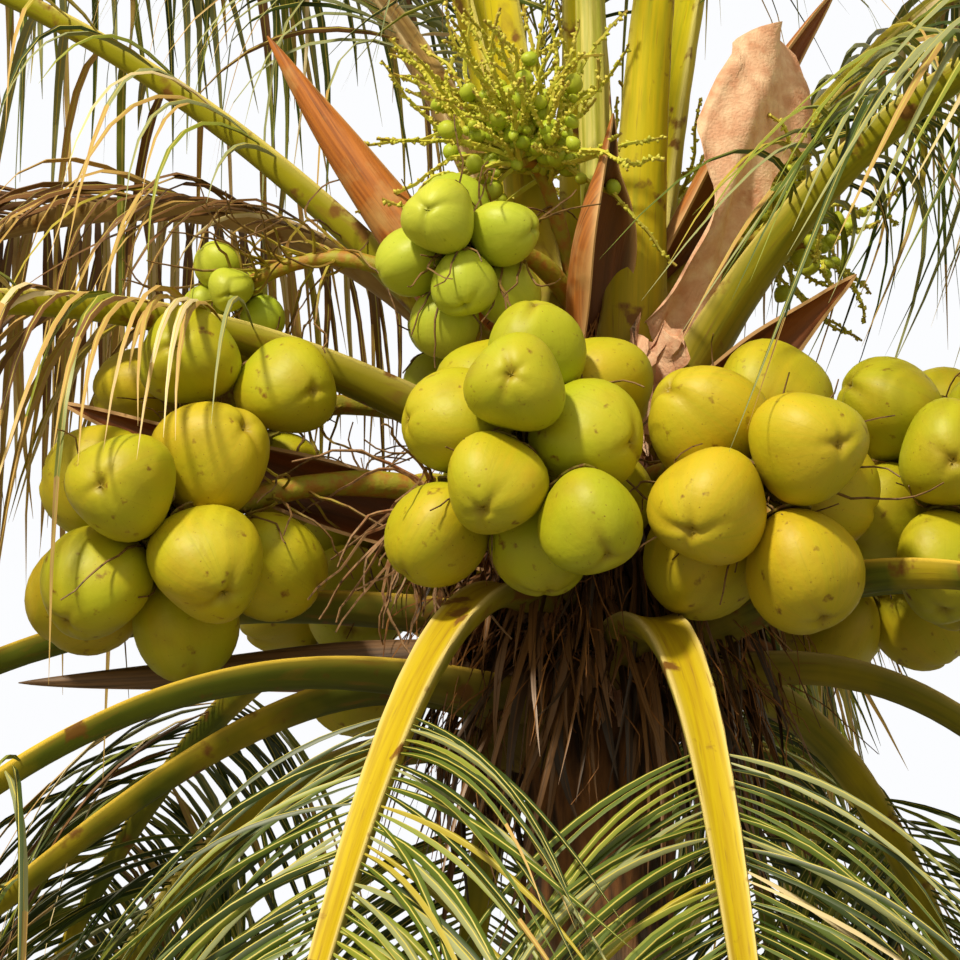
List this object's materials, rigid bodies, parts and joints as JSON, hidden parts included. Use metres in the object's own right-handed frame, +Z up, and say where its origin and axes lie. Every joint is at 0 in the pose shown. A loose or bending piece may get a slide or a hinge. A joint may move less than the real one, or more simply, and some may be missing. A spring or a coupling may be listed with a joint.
{
  "type": "coconut palm tree",
  "caption": "Fruiting coconut palm, whole: slender leaning trunk with a flared foot, arching feathery fronds, and bunches of green nuts round the heart of the crown.",
  "frame": {"origin": "middle of the flat cut under the trunk, at ground level", "axes": "+Z up along the tree's height; -Y towards the side the picture is taken from; +X to the right in it"},
  "size_m": [6.6708, 5.3823, 8.8194],
  "materials": {
    "bark": "rough grey-brown bark with ring scars",
    "frond": "satin green leaf, yellow-green stalk",
    "nut": "smooth yellow-green husk with a soft sheen",
    "young_nut": "smooth light green husk with a soft sheen",
    "flower": "matte yellow-green spikes",
    "dry_sheath": "dry fibrous red-brown",
    "fibre_net": "matte brown fibre"
  },
  "bodies": {
    "root": {"bunch_back": "nut", "bunch_back_left": "nut", "bunch_back_right": "nut", "bunch_front": "nut", "bunch_front_right": "nut", "bunch_left": "nut", "bunch_left_upper": "nut", "bunch_right": "nut", "bunch_small_left": "young_nut", "bunch_young_back": "young_nut", "bunch_young_left": "young_nut", "dry_strands": "dry_sheath", "flowers_back": "flower", "flowers_left": "flower", "flowers_right": "flower", "frond_hanging_1_blade": "frond", "frond_hanging_1_stalk": "frond", "frond_hanging_2_blade": "frond", "frond_hanging_2_stalk": "frond", "frond_hanging_3_blade": "frond", "frond_hanging_3_stalk": "frond", "frond_hanging_4_blade": "frond", "frond_hanging_4_stalk": "frond", "frond_hanging_5_blade": "frond", "frond_hanging_5_stalk": "frond", "frond_hanging_6_blade": "frond", "frond_hanging_6_stalk": "frond", "frond_low_1": "frond", "frond_low_2": "frond", "frond_low_3": "frond", "frond_low_4": "frond", "frond_low_5": "frond", "frond_low_6": "frond", "frond_low_7": "frond", "frond_middle_1": "frond", "frond_middle_2": "frond", "frond_middle_3": "frond", "frond_middle_4": "frond", "frond_middle_5": "frond", "frond_middle_6": "frond", "frond_middle_7": "frond", "frond_upper_1": "frond", "frond_upper_2": "frond", "frond_upper_3": "frond", "frond_upper_4": "frond", "frond_upper_5": "frond", "net_back": "fibre_net", "net_front": "fibre_net", "net_left": "fibre_net", "net_low": "fibre_net", "net_tall": "fibre_net", "sheath_back": "dry_sheath", "sheath_front": "dry_sheath", "sheath_left": "dry_sheath", "sheath_low_left": "dry_sheath", "sheath_right": "dry_sheath", "sheath_upper_left": "dry_sheath", "sheath_upper_right": "dry_sheath", "spear_leaf": "frond", "trunk": "bark"}
  },
  "joints": []
}
